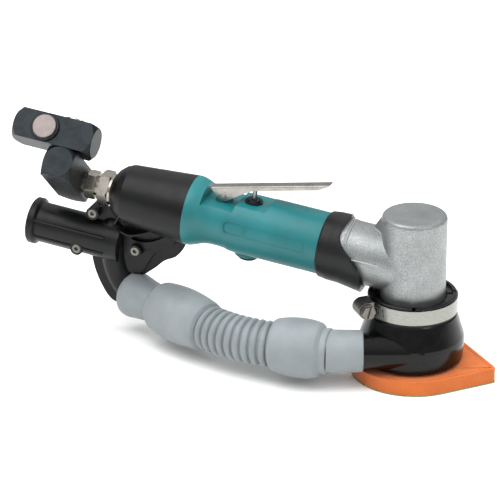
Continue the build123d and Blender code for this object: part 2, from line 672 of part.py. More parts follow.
LUG_HALF = LEVER_WIDTH / 2 - LEVER_SHEET - OPEN_GAP
LUG_RADIUS = 3.4
LUG_FOOT = 5.5
GRIP_BOSS_RADIUS = 8.6
regulator_face = GRIP_RADIUS + REGULATOR_PROUD
with BuildPart() as grip_housing:
    with BuildSketch(side) as grip_outline:
        with BuildLine():
            Polyline(
                (VALVE_AT, GRIP_RADIUS), (GRIP_START, GRIP_RADIUS), (GRIP_START, 0), (GRIP_END, 0),
                (GRIP_END, FLARE_RADIUS),
            )
            Spline(
                (GRIP_END, FLARE_RADIUS),
                (GRIP_END - 3.5, FLARE_RADIUS - 0.3),
                (GRIP_END - 9, FLARE_RADIUS - 2.4),
                (NECK_AT + 1, NECK_RADIUS),
                (NECK_AT - 9, NECK_RADIUS + 0.4),
                (VALVE_AT, GRIP_RADIUS),
                tangents=((-1, 0), (-1, 0)),
            )
        make_face()
    revolve(grip_outline.sketch, axis=Axis(side.origin, side.x_dir))
    rod(valve_section, -GRIP_RADIUS - 0.4, 0, GRIP_BOSS_RADIUS)
    plate(
        side,
        (
            (pocket_front, POCKET_FLOOR), (pocket_rear, POCKET_FLOOR), (pocket_rear + 1, TALL),
            (RECESS_FRONT - 6, TALL), (RECESS_FRONT - 2.5, GRIP_RADIUS + 1), (RECESS_FRONT, RECESS_FLOOR),
            (pocket_front - 1, RECESS_FLOOR),
        ),
        TALL, mode=Mode.SUBTRACT,
    )
    plate(
        side,
        (
            (PIN_AT - LUG_FOOT, POCKET_FLOOR - 0.5), (PIN_AT + LUG_FOOT, POCKET_FLOOR - 0.5),
            (PIN_AT + LUG_RADIUS, PIN_HEIGHT), (PIN_AT + 1.5, PIN_HEIGHT + LUG_RADIUS),
            (PIN_AT - 1.5, PIN_HEIGHT + LUG_RADIUS), (PIN_AT - LUG_RADIUS, PIN_HEIGHT),
        ),
        LUG_HALF,
    )
    add(core_space, mode=Mode.SUBTRACT)
    rod(valve_section, 0, TALL, VALVE_BORE + SEAT, mode=Mode.SUBTRACT)
    rod(valve_section, -TALL, 0, REGULATOR_RADIUS + RUNNING, mode=Mode.SUBTRACT)
    with BuildSketch(side) as pin_hole:
        with Locations((PIN_AT, PIN_HEIGHT)):
            Circle(PIN_RADIUS + SEAT)
    extrude(pin_hole.sketch, amount=LEVER_WIDTH, both=True, mode=Mode.SUBTRACT)
finish(grip_housing.part, "grip_housing")

# ---------------------------------------------------------------- throttle
lever_turn = math.radians(LEVER_OPEN)
lever_forward = rearward * -math.cos(lever_turn) + above * math.sin(lever_turn)
# x runs from the pin to the lever's tip, y square to the blade.
lever_side = Plane(origin=at(side, PIN_AT, PIN_HEIGHT), x_dir=lever_forward, z_dir=(0, -1, 0))
LEVER_REAR = 7.0
LEVER_EDGE = 3.0
EAR_DROP = 3.0
with BuildPart() as throttle_lever:
    plate(
        lever_side,
        (
            (-LEVER_REAR, LEVER_TOP), (LEVER_REACH, LEVER_TOP), (LEVER_REACH - 1, LEVER_TOP - 0.8),
            (LEVER_REACH - 8, LEVER_TOP - LEVER_EDGE), (21, LEVER_TOP - LEVER_EDGE), (17, LEVER_TOP - LEVER_EDGE - 0.6),
            (3.6, -2.2), (2.2, -EAR_DROP), (-1.6, -EAR_DROP), (-3.2, -2), (-4.6, 1), (-LEVER_REAR, LEVER_TOP - 1.4),
        ),
        LEVER_WIDTH / 2,
    )
    top_edges = throttle_lever.faces().sort_by(Axis((0, 0, 0), lever_side.y_dir))[-1].edges()
    fillet(top_edges.filter_by(Axis((0, 0, 0), lever_forward)), radius=0.9)
    plate(
        lever_side,
        (
            (-2 * LEVER_REAR, LEVER_TOP - LEVER_SHEET), (2 * LEVER_REACH, LEVER_TOP - LEVER_SHEET),
            (2 * LEVER_REACH, -2 * EAR_DROP), (-2 * LEVER_REAR, -2 * EAR_DROP),
        ),
        LEVER_WIDTH / 2 - LEVER_SHEET, mode=Mode.SUBTRACT,
    )
    with BuildSketch(lever_side) as ear_hole:
        Circle(PIN_RADIUS + RUNNING)
    extrude(ear_hole.sketch, amount=LEVER_WIDTH, both=True, mode=Mode.SUBTRACT)
finish(throttle_lever.part, "throttle_lever")

PIN_OVERHANG = 0.7
with BuildPart() as lever_pin:
    with BuildSketch(side) as pin_end:
        with Locations((PIN_AT, PIN_HEIGHT)):
            Circle(PIN_RADIUS)
    extrude(pin_end.sketch, amount=LEVER_WIDTH / 2 + PIN_OVERHANG, both=True)
    chamfer(lever_pin.edges().group_by(Axis.Y)[0] + lever_pin.edges().group_by(Axis.Y)[-1], length=0.3)
finish(lever_pin.part, "lever_pin")

BUSHING_FLANGE = 5.6
BUSHING_HEIGHT = 2.2
BUSHING_DEPTH = 8.5
with BuildPart() as valve_bushing:
    lathe(
        valve_section,
        (RECESS_FLOOR - BUSHING_DEPTH, STEM_RADIUS + RUNNING),
        (RECESS_FLOOR - BUSHING_DEPTH, VALVE_BORE),
        (RECESS_FLOOR, VALVE_BORE),
        (RECESS_FLOOR, BUSHING_FLANGE),
        (RECESS_FLOOR + 1.1, BUSHING_FLANGE),
        (RECESS_FLOOR + 1.1, BUSHING_FLANGE - 1.3),
        (RECESS_FLOOR + BUSHING_HEIGHT, BUSHING_FLANGE - 1.5),
        (RECESS_FLOOR + BUSHING_HEIGHT, STEM_RADIUS + RUNNING),
    )
finish(valve_bushing.part, "valve_bushing")

lever_under = LEVER_TOP - LEVER_SHEET
stem_top = PIN_HEIGHT + lever_under / math.cos(lever_turn) + (PIN_AT - VALVE_AT) * math.tan(lever_turn)
stem_edge = STEM_RADIUS * math.tan(lever_turn)
VALVE_HEAD = -3.0
with BuildPart() as valve_stem:
    lathe(
        valve_section,
        (VALVE_HEAD, 0),
        (VALVE_HEAD, VALVE_BORE - 0.8),
        (VALVE_HEAD + 1.6, VALVE_BORE - 0.8),
        (VALVE_HEAD + 2.6, STEM_RADIUS),
        (stem_top - stem_edge - 0.7, STEM_RADIUS),
        (stem_top - stem_edge, STEM_RADIUS - 0.6),
        (stem_top - stem_edge, 0),
    )
finish(valve_stem.part, "valve_stem")

SPRING_WIRE = 0.35
SPRING_RADIUS = 2.6
SPRING_TURNS = 4
SPRING_SLACK = 0.3
spring_bottom = PLUNGER_BOTTOM + SPRING_WIRE
spring_height = VALVE_HEAD - SPRING_WIRE - SPRING_SLACK - spring_bottom
with BuildPart() as valve_spring:
    coil_plane = across(valve_section, spring_bottom)
    with BuildLine(coil_plane) as coil:
        Helix(pitch=spring_height / SPRING_TURNS, height=spring_height, radius=SPRING_RADIUS)
    with BuildSketch(Plane(origin=coil.line @ 0, z_dir=coil.line % 0)) as wire:
        Circle(SPRING_WIRE)
    sweep(wire.sketch, path=coil.line, is_frenet=True)
finish(valve_spring.part, "valve_spring")

REGULATOR_GROOVE = 5.4
with BuildPart() as speed_regulator:
    rod(valve_section, -regulator_face, REGULATOR_SEAT - 0.2, REGULATOR_RADIUS)
    knob_face = speed_regulator.faces().sort_by(Axis.Z)[0]
    chamfer(knob_face.outer_wire().edges(), length=0.6)
    with BuildSketch(across(valve_section, -regulator_face)) as knob_slot:
        Rectangle(1.4, 9)
    extrude(knob_slot.sketch, amount=1.6, mode=Mode.SUBTRACT)
    seal_middle = REGULATOR_SEAT - 1.6
    lathe(
        valve_section,
        (seal_middle - 0.7, REGULATOR_GROOVE), (seal_middle + 0.7, REGULATOR_GROOVE),
        (seal_middle + 0.7, 2 * REGULATOR_GROOVE), (seal_middle - 0.7, 2 * REGULATOR_GROOVE),
        mode=Mode.SUBTRACT,
    )
finish(speed_regulator.part, "speed_regulator")

with BuildPart() as regulator_seal:
    tube(valve_section, seal_middle - 0.65, seal_middle + 0.65, REGULATOR_GROOVE + SEAT, REGULATOR_RADIUS)
finish(regulator_seal.part, "regulator_seal")

# ---------------------------------------------------------------- vacuum hose
front_heading = math.radians(FRONT_HEADING)
front_direction = Vector(math.cos(front_heading), math.sin(front_heading), 0)
small_cuff_start = -PORT_REACH - SMALL_CUFF_LENGTH
cuff_joint = at(port_section, small_cuff_start)
bellows_front = cuff_joint - front_direction * FRONT_CUFF_LENGTH
mouth = Vector(BRANCH_AT + CUFF_AHEAD, 0, PORT_HEIGHT)
# The bellows is the arc that is tangent to the front cuff and to a rear cuff that starts at the mouth.
span = bellows_front - mouth
tangent_length = (span.length**2 - REAR_CUFF_LENGTH**2) / (2 * (span.dot(front_direction) + REAR_CUFF_LENGTH))
tangents_meet = bellows_front - front_direction * tangent_length
rear_direction = (tangents_meet - mouth).normalized()
bellows_rear = mouth + rear_direction * REAR_CUFF_LENGTH
rear_cuff_section = Plane(origin=mouth, x_dir=rear_direction, z_dir=(0, 0, 1))
front_cuff_section = Plane(origin=bellows_front, x_dir=front_direction, z_dir=(0, 0, 1))
HOSE_BORE = BELLOWS_VALLEY - HOSE_WALL
MOUTH_RADIUS = 14.5
CUP_DEPTH = 12.0

# ---------------------------------------------------------------- rear adapter
outlet_section = Plane(origin=at(side, 0, -OUTLET_DROP), x_dir=rearward, z_dir=(0, 1, 0))
BRANCH_TOP = BRANCH_BEND_TOP + 16
UPPER_BEND = 35.0
LOWER_BEND = 12.0
UPPER_TURN = 40
LOWER_TURN = 80
sleeve_shoulder = SLEEVE_END - 10


def branch_way(radius):
    """The curved tube from the outlet down into the hose's mouth."""
    with BuildPart() as way:
        with BuildLine(Plane.XZ) as route:
            Line((BRANCH_AT, BRANCH_TOP), (BRANCH_AT, BRANCH_BEND_TOP))
            JernArc(start=(BRANCH_AT, BRANCH_BEND_TOP), tangent=(0, -1), radius=UPPER_BEND, arc_size=UPPER_TURN)
            JernArc(start=route.line @ 1, tangent=route.line % 1, radius=LOWER_BEND, arc_size=LOWER_TURN - UPPER_TURN)
        with BuildSketch(Plane(origin=(BRANCH_AT, 0, BRANCH_TOP), z_dir=(0, 0, -1))) as section:
            Circle(radius)
        sweep(section.sketch, path=route.line)
        with Locations((BRANCH_AT, 0, BRANCH_TOP)):
            Sphere(radius)
    return way.part


branch_outer = branch_way(BRANCH_RADIUS)
branch_inner = branch_way(BRANCH_BORE)
cuff_space = branch_way(BRANCH_RADIUS + 0.15)


def web_place(along, share):
    """A place in the web: along X from the branch, and a share of the height from the hose to the handle."""
    return BRANCH_AT + along, PORT_HEIGHT + share * web_height


# Screw bosses: place along X from the branch, share of the height, how far they stand out to the right.
BOSSES = ((-11.0, 0.785, 8.0), (-20.5, 0.447, 12.6), (17.3, 0.474, 8.0))
BOSS_FAR = 9.0
SCREW_RECESS = 3.0
SCREW_SLACK = 0.1


def bosses(radius, start, end, mode=Mode.ADD):
    """Cylinders across the adapter at each boss; a start or end of None is the boss's face."""
    for along, share, stand in BOSSES:
        place, height = web_place(along, share)
        low = -stand if start is None else start
        high = -stand + SCREW_RECESS if end is None else end
        with BuildSketch(Plane(origin=(place, low, height), x_dir=(1, 0, 0), z_dir=(0, 1, 0))) as boss:
            Circle(radius)
        extrude(boss.sketch, amount=high - low, mode=mode)


RIB_HALF = 0.6
# Web outlines, each as three curves and the straight runs that close it under the sleeve.
near_web = (
    (
        (-13.5, 0.479), (-13.6, 0.349), (-11.4, 0.191), (-6.0, 0.026), (-0.5, -0.073),
        (3.0, -0.089),
    ),
    (
        (3.0, -0.089), (6.5, -0.039), (9.4, 0.091), (10.5, 0.226),
    ),
    (
        (10.5, 0.226), (19.4, 0.240), (23.5, 0.328), (27.3, 0.421), (33.0, 0.493), (40.2, 0.538),
        (43.4, 0.632), (46.0, 0.766),
    ),
    (
        (46.0, 0.766), (3.0, 0.809), (-6.0, 0.829), (-12.0, 0.832), (-16.5, 0.622), (-13.5, 0.479),
    ),
)
far_web = (
    (
        (-15.0, 0.479), (-15.1, 0.335), (-12.6, 0.170), (-7.0, -0.003), (-1.0, -0.099),
        (3.0, -0.114),
    ),
    (
        (3.0, -0.114), (6.5, -0.068), (9.4, 0.076), (10.5, 0.226),
    ),
    (
        (10.5, 0.226), (20.0, 0.206), (25.0, 0.256), (29.9, 0.315), (34.5, 0.375), (40.3, 0.414),
        (47.4, 0.530), (50.0, 0.737),
    ),
    (
        (50.0, 0.737), (3.0, 0.809), (-6.0, 0.829), (-12.0, 0.832), (-16.5, 0.622), (-15.0, 0.479),
    ),
)


def web_plate(web):
    """The flat web between the sleeve, the outlet and the branch."""
    with BuildSketch(Plane.XZ) as outline:
        with BuildLine():
            for curve in web[:-1]:
                Spline(*(web_place(*point) for point in curve))
            Polyline(*(web_place(*point) for point in web[-1]))
        make_face()
    extrude(outline.sketch, amount=WEB_HALF, both=True)


def adapter_half(web, keep):
    """One half of the clamshell that joins the handle, the outlet and the hose."""
    with BuildPart() as half:
        lathe(
            side,
            (GRIP_END, 0),
            (GRIP_END, FLARE_RADIUS),
            (sleeve_shoulder, SLEEVE_RADIUS + 0.4),
            (sleeve_shoulder + 4, SLEEVE_RADIUS - 1.3),
            (sleeve_shoulder + 7.5, SLEEVE_RADIUS - 4.2),
            (SLEEVE_END - 0.6, SLEEVE_RADIUS - 7.2),
            (SLEEVE_END, SLEEVE_RADIUS - 8.2),
            (SLEEVE_END, 0),
        )
        rod(outlet_section, OUTLET_END - OUTLET_LENGTH, OUTLET_END, OUTLET_RADIUS)
        flange = OUTLET_END - FLANGE_LENGTH
        lathe(
            outlet_section,
            (flange - 1.2, 0), (flange - 1.2, OUTLET_RADIUS), (flange, FLANGE_RADIUS - 0.3),
            (flange + 0.6, FLANGE_RADIUS), (OUTLET_END - 0.8, FLANGE_RADIUS),
            (OUTLET_END, FLANGE_RADIUS - 0.8), (OUTLET_END, 0),
        )
        for rail in (-5.4, 5.8):
            plate(
                outlet_section,
                ((flange, rail - RIB_HALF), (flange, rail + RIB_HALF),
                 (SLEEVE_END, rail + RIB_HALF), (SLEEVE_END, rail - RIB_HALF)),
                OUTLET_RADIUS - 0.35,
            )
        add(branch_outer)
        web_plate(web)
        bosses(BOSS_RADIUS, None, BOSS_FAR)
        if keep == Keep.TOP:
            for points, width, stand in (
                (((7.0, 0.766), (12.5, 0.910), (17.3, 1.030)), 2 * RIB_HALF, 15.6),
                (((8.4, 0.657), (15.0, 0.631), (21.6, 0.653), (32.0, 0.716), (41.5, 0.819)), 2 * RIB_HALF, 9.0),
                (((13.0, 0.543), (23.0, 0.527), (32.0, 0.565), (39.5, 0.637), (44.5, 0.737)), 4.5, 5.0),
            ):
                with BuildSketch(Plane.XZ) as rib:
                    with BuildLine():
                        Spline(*(web_place(*point) for point in points))
                    trace(line_width=width)
                extrude(rib.sketch, amount=stand)
        lathe(
            side,
            (GRIP_END, 0),
            (GRIP_END, seated),
            (GRIP_END + 3, seated),
            (GRIP_END + 6, FLARE_RADIUS - ADAPTER_WALL - 0.6),
            (sleeve_shoulder - 2, SLEEVE_RADIUS + 0.4 - ADAPTER_WALL + 0.6),
            (sleeve_shoulder, seated),
            (CORE_END, seated),
            (CORE_END, BUSHING_NECK_RADIUS + SEAT),
            (SLEEVE_END, BUSHING_NECK_RADIUS + SEAT),
            (SLEEVE_END, 0),
            mode=Mode.SUBTRACT,
        )
        lathe(
            outlet_section,
            (BRANCH_RADIUS - BRANCH_AT - 12, 0),
            (BRANCH_RADIUS - BRANCH_AT - 12, THROAT_RADIUS),
            (OUTLET_END - 26, THROAT_RADIUS),
            (OUTLET_END - 12, OUTLET_BORE),
            (OUTLET_END, OUTLET_BORE),
            (OUTLET_END, 0),
            mode=Mode.SUBTRACT,
        )
        add(branch_inner, mode=Mode.SUBTRACT)
        bosses(SCREW_RADIUS + SCREW_SLACK, None, BOSS_FAR - 1.5, mode=Mode.SUBTRACT)
        bosses(SCREW_HEAD_RADIUS + SCREW_SLACK, None, None, mode=Mode.SUBTRACT)
        split(bisect_by=Plane.XZ, keep=keep)
    return half.part



adapter_right = adapter_half(near_web, Keep.TOP)
finish(adapter_right, "adapter_right")
adapter_left = adapter_half(far_web, Keep.BOTTOM)
finish(adapter_left, "adapter_left")

SOCKET_RADIUS = 1.5
SOCKET_DEPTH = 1.7
with BuildPart() as adapter_screws:
    bosses(SCREW_RADIUS, None, BOSS_FAR - 1.8)
    bosses(SCREW_HEAD_RADIUS, None, None)
    for along, share, stand in BOSSES:
        place, height = web_place(along, share)
        with BuildSketch(Plane(origin=(place, -stand, height), x_dir=(1, 0, 0), z_dir=(0, 1, 0))) as socket:
            RegularPolygon(SOCKET_RADIUS, 6)
        extrude(socket.sketch, amount=SOCKET_DEPTH, mode=Mode.SUBTRACT)
finish(adapter_screws.part, "adapter_screws")

# ---------------------------------------------------------------- hose pieces
with BuildPart() as hose_rear_cuff:
    with BuildSketch(rear_cuff_section) as cuff_outline:
        with BuildLine():
            Spline(
                (0, MOUTH_RADIUS - 0.4), (1.5, MOUTH_RADIUS), (8, MOUTH_RADIUS - 0.5),
                (16, 12.9), (23.5, 11.9),
            )
            Polyline((23.5, 11.9), (25.6, 12.1), (26.6, 15.2), (28.2, 16.1))
            Spline((28.2, 16.1), (38, 17.4), (46, 17.75), (54, 17.4), (REAR_CUFF_LENGTH - 4, 15.9))
            Polyline(
                (REAR_CUFF_LENGTH - 4, 15.9), (REAR_CUFF_LENGTH - 1.6, 15), (REAR_CUFF_LENGTH, 12.6),
                (REAR_CUFF_LENGTH, HOSE_BORE), (CUP_DEPTH, HOSE_BORE), (CUP_DEPTH - 2, 12.4), (0, 12.4),
                (0, MOUTH_RADIUS - 0.4),
            )
        make_face()
    revolve(cuff_outline.sketch, axis=Axis(mouth, rear_direction))
    add(cuff_space, mode=Mode.SUBTRACT)
finish(hose_rear_cuff.part, "hose_rear_cuff")

with BuildPart() as hose_front_cuff:
    with BuildSketch(front_cuff_section) as barrel_outline:
        with BuildLine():
            Polyline((0, 0), (0, 12.6), (1.2, 15.2), (2.6, 16.2))
            Spline((2.6, 16.2), (10, 17.9), (18, 18.5), (25, 18.1), (FRONT_CUFF_LENGTH - 3.4, 16.9))
            Polyline(
                (FRONT_CUFF_LENGTH - 3.4, 16.9), (FRONT_CUFF_LENGTH - 2, 15.6), (FRONT_CUFF_LENGTH - 1, 14.35),
                (FRONT_CUFF_LENGTH + 2.4, 14.35), (FRONT_CUFF_LENGTH + 3, 13.4), (FRONT_CUFF_LENGTH + 3, 0), (0, 0),
            )
        make_face()
    revolve(barrel_outline.sketch, axis=Axis(bellows_front, front_direction))
    lathe(
        port_section,
        (small_cuff_start, 0), (small_cuff_start, SMALL_CUFF_RADIUS + 0.4),
        (-PORT_REACH - 1, SMALL_CUFF_RADIUS), (-PORT_REACH, SMALL_CUFF_RADIUS - 0.5), (-PORT_REACH, 0),
    )
    rod(front_cuff_section, 0, FRONT_CUFF_LENGTH, HOSE_BORE, mode=Mode.SUBTRACT)
    with Locations(cuff_joint):
        Sphere(HOSE_BORE, mode=Mode.SUBTRACT)
    rod(port_section, small_cuff_start, -PORT_REACH, HOSE_BORE, mode=Mode.SUBTRACT)
    rod(port_section, -PORT_REACH - 12.2, -PORT_REACH, PORT_RADIUS + SEAT, mode=Mode.SUBTRACT)
finish(hose_front_cuff.part, "hose_front_cuff")

RIDGE_HALF = 1.6
RIDGE_EDGE = 0.9
with BuildPart() as hose_bellows:
    with BuildLine() as bend:
        TangentArc(bellows_rear, bellows_front, tangent=rear_direction)
    with BuildSketch(Plane(origin=bellows_rear, z_dir=rear_direction)) as valley:
        Circle(BELLOWS_VALLEY)
    sweep(valley.sketch, path=bend.line)
    for ridge in range(RIDGE_COUNT):
        share = (ridge + 0.5) / RIDGE_COUNT
        middle = bend.line @ share
        along = bend.line % share
        lathe(
            Plane(origin=middle, x_dir=along, z_dir=(0, 0, 1)),
            (-RIDGE_HALF, BELLOWS_VALLEY - 1), (-RIDGE_HALF, BELLOWS_RADIUS - RIDGE_EDGE),
            (RIDGE_EDGE - RIDGE_HALF, BELLOWS_RADIUS), (RIDGE_HALF - RIDGE_EDGE, BELLOWS_RADIUS),
            (RIDGE_HALF, BELLOWS_RADIUS - RIDGE_EDGE), (RIDGE_HALF, BELLOWS_VALLEY - 1),
        )
    with BuildSketch(Plane(origin=bellows_rear, z_dir=rear_direction)) as bore:
        Circle(HOSE_BORE)
    sweep(bore.sketch, path=bend.line, mode=Mode.SUBTRACT)
finish(hose_bellows.part, "hose_bellows")

# ---------------------------------------------------------------- air inlet and swivel
HEX_FAR_SIZE = 11.5
HEX_NEAR_SIZE = 9.2
HEX_FAR_LENGTH = 7.0
HEX_GAP = 2.6
HEX_NEAR_LENGTH = 6.6
NIPPLE_THREAD = 6.2
bushing_face = SLEEVE_END + 1.6
bushing_end = bushing_face + HEX_FAR_LENGTH
nipple_hex = bushing_end + HEX_GAP


def hexagon(plane, start, end, size):
    """A hexagon bar with its corners turned off at both ends."""
    with BuildPart() as nut:
        with BuildSketch(across(plane, start)) as outline:
            RegularPolygon(size, 6, rotation=30)
        extrude(outline.sketch, amount=end - start)
        lathe(
            plane, (start, 0), (start, size * 0.9), (start + 0.8, size), (end - 0.8, size),
            (end, size * 0.9), (end, 0), mode=Mode.INTERSECT,
        )
    return nut.part


hex_far = hexagon(side, bushing_face, bushing_end, HEX_FAR_SIZE)
with BuildPart() as inlet_bushing:
    add(hex_far)
    rod(side, CORE_END - BUSHING_THREAD_LENGTH + 1, CORE_END + 0.2, BUSHING_THREAD_RADIUS)
    rod(side, CORE_END + 0.1, bushing_face, BUSHING_NECK_RADIUS)
    rod(side, SLEEVE_END + 0.1, bushing_face + 0.2, HEX_FAR_SIZE * 0.86)
    rod(side, 0, bushing_end, INLET_RADIUS - 1, mode=Mode.SUBTRACT)
    rod(side, CORE_END + 4, bushing_end, NIPPLE_THREAD + SEAT, mode=Mode.SUBTRACT)
finish(inlet_bushing.part, "inlet_bushing")

with BuildPart() as inlet_screen:
    tube(side, CORE_END + 4, CORE_END + 5, 3.2, NIPPLE_THREAD - 0.2)
    with BuildSketch(across(side, CORE_END + 4)) as mesh:
        for turn in (0, 60, 120):
            Rectangle(2 * 3.4, 0.5, rotation=turn)
    extrude(mesh.sketch, amount=0.6)
finish(inlet_screen.part, "inlet_screen")

block_origin = at(side, BLOCK_AT)
roll = math.radians(SWIVEL_ROLL)
outward = Vector(0, -math.cos(roll), 0) + above * math.sin(roll)
stacked = Vector(0, math.sin(roll), 0) + above * math.cos(roll)
# x runs along the block to its closed front end, y towards the arm.
block_section = Plane(origin=block_origin, x_dir=outward, z_dir=outward.cross(stacked))
arm_section = Plane(
    origin=at(block_section, ARM_OFF, BAR + BAR_GAP), x_dir=rearward, z_dir=rearward.cross(stacked)
)
stud_section = Plane(origin=at(block_section, ARM_OFF), x_dir=stacked, z_dir=stacked.cross(outward))
plug_section = Plane(origin=at(arm_section, PLUG_AT), x_dir=outward, z_dir=outward.cross(stacked))
BORE = 3.2
BAR_CORNER = BAR / math.sqrt(2) + 0.2
SEAL_SECTION = 0.65
journal_end = BLOCK_AT + 6
nipple_seal_at = BLOCK_AT - 4


def seal_groove(plane, place, radius):
    """Cuts the groove of an O-ring in a journal."""
    lathe(
        plane,
        (place - 0.8, radius - 1.35), (place + 0.8, radius - 1.35),
        (place + 0.8, radius + 1), (place - 0.8, radius + 1),
        mode=Mode.SUBTRACT,
    )


def seal(plane, place, radius):
    """An O-ring that fills a journal's groove out to the bore."""
    with BuildPart() as ring:
        with BuildSketch(plane) as section:
            with Locations((place, radius - SEAL_SECTION + RUNNING / 2)):
                Circle(SEAL_SECTION)
        revolve(section.sketch, axis=Axis(plane.origin, plane.x_dir))
    return ring.part


hex_near = hexagon(side, nipple_hex, nipple_hex + HEX_NEAR_LENGTH, HEX_NEAR_SIZE)
with BuildPart() as swivel_nipple:
    add(hex_near)
    rod(side, CORE_END + 5.2, nipple_hex + 1, NIPPLE_THREAD)
    rod(side, nipple_hex + 1, journal_end, NIPPLE_JOURNAL)
    seal_groove(side, nipple_seal_at, NIPPLE_JOURNAL)
    rod(side, CORE_END, journal_end + 1, BORE, mode=Mode.SUBTRACT)
finish(swivel_nipple.part, "swivel_nipple")

nipple_seal = seal(side, nipple_seal_at, NIPPLE_JOURNAL)
finish(nipple_seal, "nipple_seal")


def turned_bar(plane, start, end):
    """Square bar along the plane's x axis with its ends turned to a cone."""
    turned = BAR_CORNER - BAR_END_RADIUS
    with BuildPart() as bar:
        with BuildSketch(across(plane, start)) as square:
            Rectangle(BAR, BAR)
        extrude(square.sketch, amount=end - start)
        lathe(
            plane, (start, 0), (start, BAR_END_RADIUS), (start + turned, BAR_CORNER),
            (end - turned, BAR_CORNER), (end, BAR_END_RADIUS), (end, 0), mode=Mode.INTERSECT,
        )
    return bar.part


block_bar = turned_bar(block_section, -BLOCK_REAR, BLOCK_FRONT)
with BuildPart() as swivel_block:
    add(block_bar)
    rod(side, BLOCK_AT - BAR, journal_end + OPEN_GAP, NIPPLE_JOURNAL + RUNNING, mode=Mode.SUBTRACT)
    rod(block_section, 0, ARM_OFF + 2, BORE, mode=Mode.SUBTRACT)
    rod(stud_section, 1.5, BAR, ARM_STUD_RADIUS + SEAT, mode=Mode.SUBTRACT)
finish(swivel_block.part, "swivel_block")

arm_top = 1.5 * BAR + BAR_GAP
stud_seal_at = BAR / 2 + BAR_GAP + 3.4
with BuildPart() as swivel_stud:
    rod(stud_section, 1.5, arm_top + OPEN_GAP, ARM_STUD_RADIUS)
    rod(stud_section, arm_top + OPEN_GAP, arm_top + OPEN_GAP + 1.1, ARM_STUD_RADIUS + 2.2)
    seal_groove(stud_section, stud_seal_at, ARM_STUD_RADIUS)
    rod(stud_section, 1.5, BAR + BAR_GAP + BORE, BORE - 0.6, mode=Mode.SUBTRACT)
    rod(arm_section, -ARM_STUD_RADIUS - 1, ARM_STUD_RADIUS + 1, BORE - 0.6, mode=Mode.SUBTRACT)
finish(swivel_stud.part, "swivel_stud")

stud_seal = seal(stud_section, stud_seal_at, ARM_STUD_RADIUS)
finish(stud_seal, "stud_seal")

RING_OUTER = 9.1
RING_THICKNESS = 1.5
PLUG_PROUD = 3.0
plug_seat = BORE + 1.0
arm_bar = turned_bar(arm_section, -ARM_FORWARD, ARM_REARWARD)
with BuildPart() as swivel_arm:
    add(arm_bar)
    rod(stud_section, BAR / 2, arm_top + 1, ARM_STUD_RADIUS + RUNNING, mode=Mode.SUBTRACT)
    rod(arm_section, 0, ARM_REARWARD, BORE, mode=Mode.SUBTRACT)
    thread_start = ARM_REARWARD - INLET_THREAD_LENGTH
    rod(arm_section, thread_start, ARM_REARWARD, INLET_THREAD_RADIUS, mode=Mode.SUBTRACT)
    rod(plug_section, plug_seat, BAR, PLUG_RADIUS + SEAT, mode=Mode.SUBTRACT)
finish(swivel_arm.part, "swivel_arm")

with BuildPart() as arm_plug:
    rod(plug_section, plug_seat, BAR / 2 + PLUG_PROUD, PLUG_RADIUS)
    face = arm_plug.faces().sort_by(Axis((0, 0, 0), outward))[-1]
    chamfer(face.outer_wire().edges(), length=0.4)
finish(arm_plug.part, "arm_plug")

with BuildPart() as arm_snap_ring:
    tube(plug_section, BAR / 2, BAR / 2 + RING_THICKNESS, PLUG_RADIUS + SEAT, RING_OUTER)
    fillet(arm_snap_ring.faces().sort_by(Axis((0, 0, 0), outward))[-1].outer_wire().edges(), radius=0.6)
finish(arm_snap_ring.part, "arm_snap_ring")
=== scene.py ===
import json
import math

import bmesh
import bpy
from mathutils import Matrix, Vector


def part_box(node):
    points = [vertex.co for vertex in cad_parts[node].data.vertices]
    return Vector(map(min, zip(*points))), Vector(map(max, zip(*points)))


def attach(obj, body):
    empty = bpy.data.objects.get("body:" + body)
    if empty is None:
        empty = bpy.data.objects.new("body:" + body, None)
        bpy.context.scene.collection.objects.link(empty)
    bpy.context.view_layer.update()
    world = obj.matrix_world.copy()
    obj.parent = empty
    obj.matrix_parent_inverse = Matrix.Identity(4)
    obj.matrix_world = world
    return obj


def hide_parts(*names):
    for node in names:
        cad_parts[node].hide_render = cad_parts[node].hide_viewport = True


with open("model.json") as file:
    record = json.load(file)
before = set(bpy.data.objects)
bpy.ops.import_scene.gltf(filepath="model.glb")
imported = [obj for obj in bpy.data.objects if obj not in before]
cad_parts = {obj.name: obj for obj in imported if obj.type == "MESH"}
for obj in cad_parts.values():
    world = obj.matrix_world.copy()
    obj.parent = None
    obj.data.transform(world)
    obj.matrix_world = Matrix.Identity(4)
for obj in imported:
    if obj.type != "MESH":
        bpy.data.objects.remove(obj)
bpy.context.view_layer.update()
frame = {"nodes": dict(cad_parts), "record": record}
nodes = frame["nodes"]
MM = 0.001


def deselect():
    """Leaves edit mode and selects nothing."""
    if bpy.context.object and bpy.context.object.mode != "OBJECT":
        bpy.ops.object.mode_set(mode="OBJECT")
    bpy.ops.object.select_all(action="DESELECT")


def only(piece):
    """Makes the piece the one selected and active object."""
    deselect()
    piece.select_set(True)
    bpy.context.view_layer.objects.active = piece


def settle(piece, smooth=35):
    """Puts the place into the mesh, points the faces out and smooths the round ones."""
    only(piece)
    bpy.ops.object.transform_apply(location=True, rotation=True, scale=True)
    bpy.ops.object.mode_set(mode="EDIT")
    bpy.ops.mesh.select_all(action="SELECT")
    bpy.ops.mesh.remove_doubles(threshold=0.00001)
    bpy.ops.mesh.normals_make_consistent(inside=False)
    bpy.ops.object.mode_set(mode="OBJECT")
    bpy.ops.object.shade_smooth_by_angle(angle=math.radians(smooth))


def modify(piece, kind, **values):
    """Adds a modifier to the piece and applies it."""
    only(piece)
    made = piece.modifiers.new(kind.title(), kind)
    for key, value in values.items():
        setattr(made, key, value)
    bpy.ops.object.modifier_apply(modifier=made.name)


